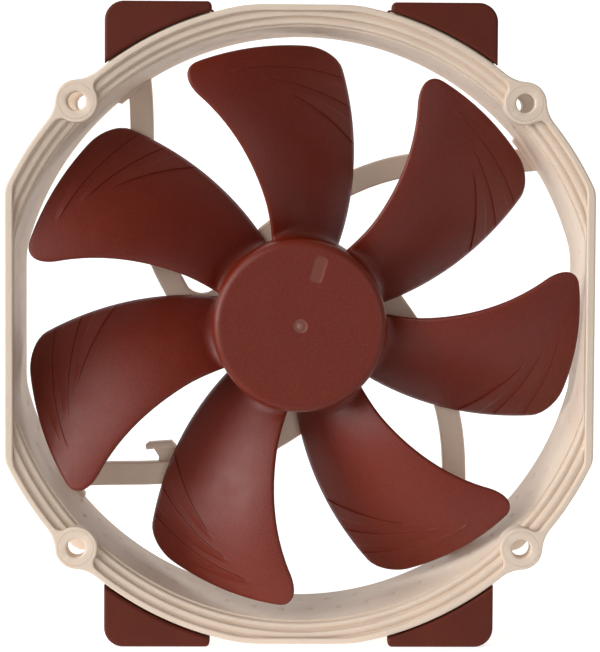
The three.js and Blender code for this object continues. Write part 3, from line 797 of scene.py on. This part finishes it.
def blade_grid():
    """Points of a blade's front and rear skins, as (rows, columns) arrays of x, depth and z."""
    edge_steps = np.array([0, 0.08, 0.25, 0.5, 0.8, 1.1]) / 34
    middle = np.linspace(edge_steps[-1], 1 - edge_steps[-1], 84)
    even = np.concatenate([edge_steps[:-1], middle, 1 - edge_steps[:-1][::-1]])
    columns = [blade_rows(share) for share in even]
    radius = np.stack([r for r, _ in columns], 1)
    height = np.stack([h for _, h in columns], 1)
    even = np.broadcast_to(even, radius.shape)
    front, front_depth = front_edge(radius)
    chord = front - rear_edge(radius)
    front_inset = corner_inset(radius, BLADE_CORNER["front"]) / radius / chord
    rear_inset = corner_inset(radius, BLADE_CORNER["rear"]) / radius / chord
    share = front_inset + even * (1 - front_inset - rear_inset)
    angle = front - chord * share
    depth = front_depth + (BLADE_REAR - front_depth) * share**1.45
    across = chord * (1 - front_inset - rear_inset) * radius
    edge = BLADE_THICK["edge"]
    rounding = edge_round(across * np.minimum(even, 1 - even), edge) * edge_round(TIP - radius, edge)
    thick = BLADE_THICK["root"] + (BLADE_THICK["tip"] - BLADE_THICK["root"]) * span(radius)
    half = thick / 2 * rounding
    fillet = 0.6 + 2.7 * np.sin(math.pi * np.clip(even * 0.9 + 0.08, 0, 1)) ** 0.8
    into = np.clip(1 - (radius - HUB_RADIUS) / fillet, 0, 1)
    shoulder = fillet * (1 - np.sqrt(1 - into**2)) * rounding
    x, z = radius * np.cos(angle), radius * np.sin(angle)
    return x, z, depth - half - height * rounding - shoulder, depth + half + 0.5 * shoulder


def blade_mesh():
    """One closed blade: front and rear skins, which meet at the edges, and a cap inside the hub."""
    x, z, near, far = blade_grid()
    rows, columns = x.shape
    vertices = np.concatenate([points_mm(x, near, z).reshape(-1, 3), points_mm(x, far, z).reshape(-1, 3)])
    faces = grid_faces(rows, columns).tolist() + grid_faces(rows, columns, start=rows * columns).tolist()
    faces += [[c, c + 1, rows * columns + c + 1, rows * columns + c] for c in range(columns - 1)]
    return outward(make_object("blade", vertices, faces))


def hub_mesh():
    """The rotor's cup, with a rounded rim and the gate mark at its middle."""
    gate = [(0, -0.02), (0.35, -0.02), (0.62, 0.08), (0.8, 0.16), (1.45, 0.16), (1.62, 0.1), (1.75, 0)]
    face = [(radius, HUB_FRONT + depth) for radius, depth in gate + [(2, 0)]]
    face += [(radius, HUB_FRONT) for radius in np.arange(2.6, HUB_RADIUS - HUB_EDGE, 0.3)]
    rim = [(HUB_RADIUS - inset, HUB_FRONT + depth) for inset, depth in quarter(HUB_EDGE, 12)]
    side = [(HUB_RADIUS, depth) for depth in (4, 8, 12, 16, 19, 20.8)]
    inner = HUB_RADIUS - HUB_WALL
    inside = [
        (HUB_RADIUS - 0.1, HUB_REAR - 0.1),
        (HUB_RADIUS - 0.3, HUB_REAR),
        (inner + 0.2, HUB_REAR),
        (inner, HUB_REAR - 0.2),
        (inner, HUB_FRONT + HUB_FACE),
        (0, HUB_FRONT + HUB_FACE),
    ]
    return lathe("impeller_hub", face + rim + side + inside, 360)


def slot_share(x, z):
    """How far a point is into the shallow rounded slot in the hub's face: 0 outside and 1 inside."""
    middle = np.array(SLOT["middle"])
    along = middle / np.linalg.norm(middle)
    down = (x - middle[0]) * along[0] + (z - middle[1]) * along[1]
    side = (x - middle[0]) * along[1] - (z - middle[1]) * along[0]
    over_side = np.maximum(np.abs(side) - (SLOT["wide"] / 2 - SLOT["corner"]), 0)
    over_down = np.maximum(np.abs(down) - (SLOT["long"] / 2 - SLOT["corner"]), 0)
    outside = np.hypot(over_side, over_down) - SLOT["corner"]
    return np.clip(0.5 - outside / SLOT["edge"], 0, 1)


def mark_face(hub):
    """Presses the slot into the hub's face, and marks it and the gate at the middle as polished."""
    polish = hub.data.attributes.new("polish", "FLOAT", "POINT")
    for vertex in hub.data.vertices:
        x, depth, z = vertex.co.x / MM, vertex.co.y / MM + DEPTH / 2, vertex.co.z / MM
        if depth > HUB_FRONT + 0.2:
            continue
        radius = math.hypot(x, z)
        share = float(slot_share(x, z))
        gate = 0.45 if radius < 1.7 else 0.0
        nub = 0.9 if radius < 0.7 else 0.0
        polish.data[vertex.index].value = max(share * 0.3, gate, nub)
        if radius > 3:
            vertex.co.y += SLOT["deep"] * share * MM


def build_impeller(material):
    hub = hub_mesh()
    mark_face(hub)
    finish_piece(hub, material, "rotor", "rotor", "impeller")
    blade = blade_mesh()
    for number in range(BLADES):
        copy = bpy.data.objects.new(f"blade_{number + 1}", blade.data.copy())
        copy.data.transform(Matrix.Rotation(-number * TURN / BLADES, 4, "Y"))
        bpy.context.scene.collection.objects.link(copy)
        finish_piece(copy, material, "rotor", "rotor", "impeller")
    bpy.data.objects.remove(blade)


# ---------------------------------------------------------------- motor

# The start of each CAD node's name, and its slot. The first match counts.
MOTOR_SLOTS = {
    "bearing_tube": "brass",
    "bearing_sleeve": "brass",
    "bearing_cap": "steel",
    "oil_seal": "nylon",
    "thrust_pad": "nylon",
    "stator_core": "lamination",
    "front_insulator": "nylon",
    "rear_insulator": "nylon",
    "coil": "copper",
    "terminal_pin": "steel",
    "circuit_board": "board",
    "driver_chip": "chip",
    "hall_sensor": "chip",
    "capacitor": "chip",
    "resistor": "chip",
    "rotor_yoke": "steel",
    "magnet_ring": "magnet",
    "shaft_bush": "brass",
    "shaft_clip": "nylon",
    "shaft": "steel",
}


def finish_motor(materials):
    """Gives each CAD node that stays in view its slot's material."""
    for name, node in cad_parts.items():
        if node.hide_render:
            continue
        slot = slot_of(name)
        node.data.materials.clear()
        node.data.materials.append(materials[slot])


def slot_of(name):
    return next(slot for start, slot in MOTOR_SLOTS.items() if name.startswith(start))


# ---------------------------------------------------------------- floor, light and camera

# Places and lengths are in metres here, the lens's own sizes in millimetres, and turns in degrees.
FLOOR = {"front": -2.5, "back": 0.6, "bend": 0.6, "height": 3.5, "half_width": 3.0, "grey": 0.66}
GLOW = {"from": -0.1, "to": -0.01, "strength": 0.72}  # the paper glows from just under the fan backwards

# Name, angle round the axis from the right, angle towards the front, and watts.
LAMPS = [
    ("left", 175, 20, 11.5),
    ("upper_left", 138, 20, 3.2),
    ("high_left", 145, 50, 3.6),
    ("front_right", -5, 60, 3.0),
]
LAMP_AWAY = 1.2
LAMP_SIZE = 0.6
SURROUND = 0.17

CAMERA = {"place": (-0.0065, -0.4392, 0.0397), "yaw": 0.85, "pitch": -2.15, "roll": 0.3}
LENS = {"sensor": 36, "focal": 100.77, "shift": -0.1541, "near": 0.02}


def build_floor():
    """A pale floor that curves up into a pale wall behind the fan."""
    back, bend = FLOOR["back"], FLOOR["bend"]
    rows = [(FLOOR["front"], 0.0), (back, 0.0)]
    rows += [(back + y, bend + z) for y, z in arc((0, 0), bend, -math.pi / 2, 0, 16)[1:]]
    rows.append((back + bend, FLOOR["height"]))
    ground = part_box("front_pad_bottom_left")[0].z
    across = np.linspace(-FLOOR["half_width"], FLOOR["half_width"], 5)
    vertices = [(x, y, ground + z) for y, z in rows for x in across]
    floor = make_object("floor", vertices, grid_faces(len(rows), len(across)))
    floor.data.shade_smooth()
    material, tree, shader = new_material("pale_paper")
    shader.inputs["Base Color"].default_value = (FLOOR["grey"],) * 3 + (1,)
    shader.inputs["Roughness"].default_value = 0.9
    shader.inputs["Emission Color"].default_value = (1, 1, 1, 1)
    where = add_node(tree, "ShaderNodeTexCoord").outputs["Object"]
    behind = add_node(tree, "ShaderNodeSeparateXYZ", {"Vector": where}).outputs["Y"]
    glow = mapped(tree, behind, GLOW["from"], GLOW["to"], 0.0, GLOW["strength"])
    tree.links.new(glow, shader.inputs["Emission Strength"])
    floor.data.materials.append(material)


def add_light(name, place, watts):
    """A square soft light that faces the fan."""
    data = bpy.data.lights.new(name, "AREA")
    data.shape = "RECTANGLE"
    data.size, data.size_y = LAMP_SIZE, LAMP_SIZE
    data.energy = watts
    made = bpy.data.objects.new(name, data)
    made.location = place
    made.rotation_mode = "QUATERNION"
    made.rotation_quaternion = (-place).to_track_quat("-Z", "Y")
    bpy.context.scene.collection.objects.link(made)


def build_lights():
    """A soft light from the left, weaker ones above it and in front, and a pale surround."""
    for name, around, forward, watts in LAMPS:
        around, forward = math.radians(around), math.radians(forward)
        level = math.cos(forward)
        towards = Vector((math.cos(around) * level, -math.sin(forward), math.sin(around) * level))
        add_light(name, towards * LAMP_AWAY, watts)
    world = bpy.data.worlds.new("studio")
    world.use_nodes = True
    background = world.node_tree.nodes["Background"]
    background.inputs["Color"].default_value = (1, 1, 1, 1)
    background.inputs["Strength"].default_value = SURROUND
    bpy.context.scene.world = world
    bpy.context.scene.view_settings.view_transform = "Standard"


def build_camera():
    """The camera stands a little above the axis and looks slightly down; the small shift keeps the
    fan's uprights as upright as the lens of the photograph does."""
    data = bpy.data.cameras.new("camera")
    data.sensor_width = LENS["sensor"]
    data.lens = LENS["focal"]
    data.shift_y = LENS["shift"]
    data.clip_start = LENS["near"]
    camera = bpy.data.objects.new("camera", data)
    yaw, pitch, roll = (math.radians(CAMERA[turn]) for turn in ("yaw", "pitch", "roll"))
    forward = Vector((math.sin(yaw) * math.cos(pitch), math.cos(yaw) * math.cos(pitch), math.sin(pitch)))
    camera.location = CAMERA["place"]
    camera.rotation_mode = "QUATERNION"
    aim = forward.to_track_quat("-Z", "Y")
    camera.rotation_quaternion = aim @ Matrix.Rotation(roll, 4, "Z").to_quaternion()
    bpy.context.scene.collection.objects.link(camera)
    bpy.context.scene.camera = camera


build_camera()
build_lights()
build_floor()
materials = make_materials()
build_frame(materials["frame"])
build_pads(materials["pad"])
build_label(materials["label"])
build_impeller(materials["rotor"])
finish_motor(materials)
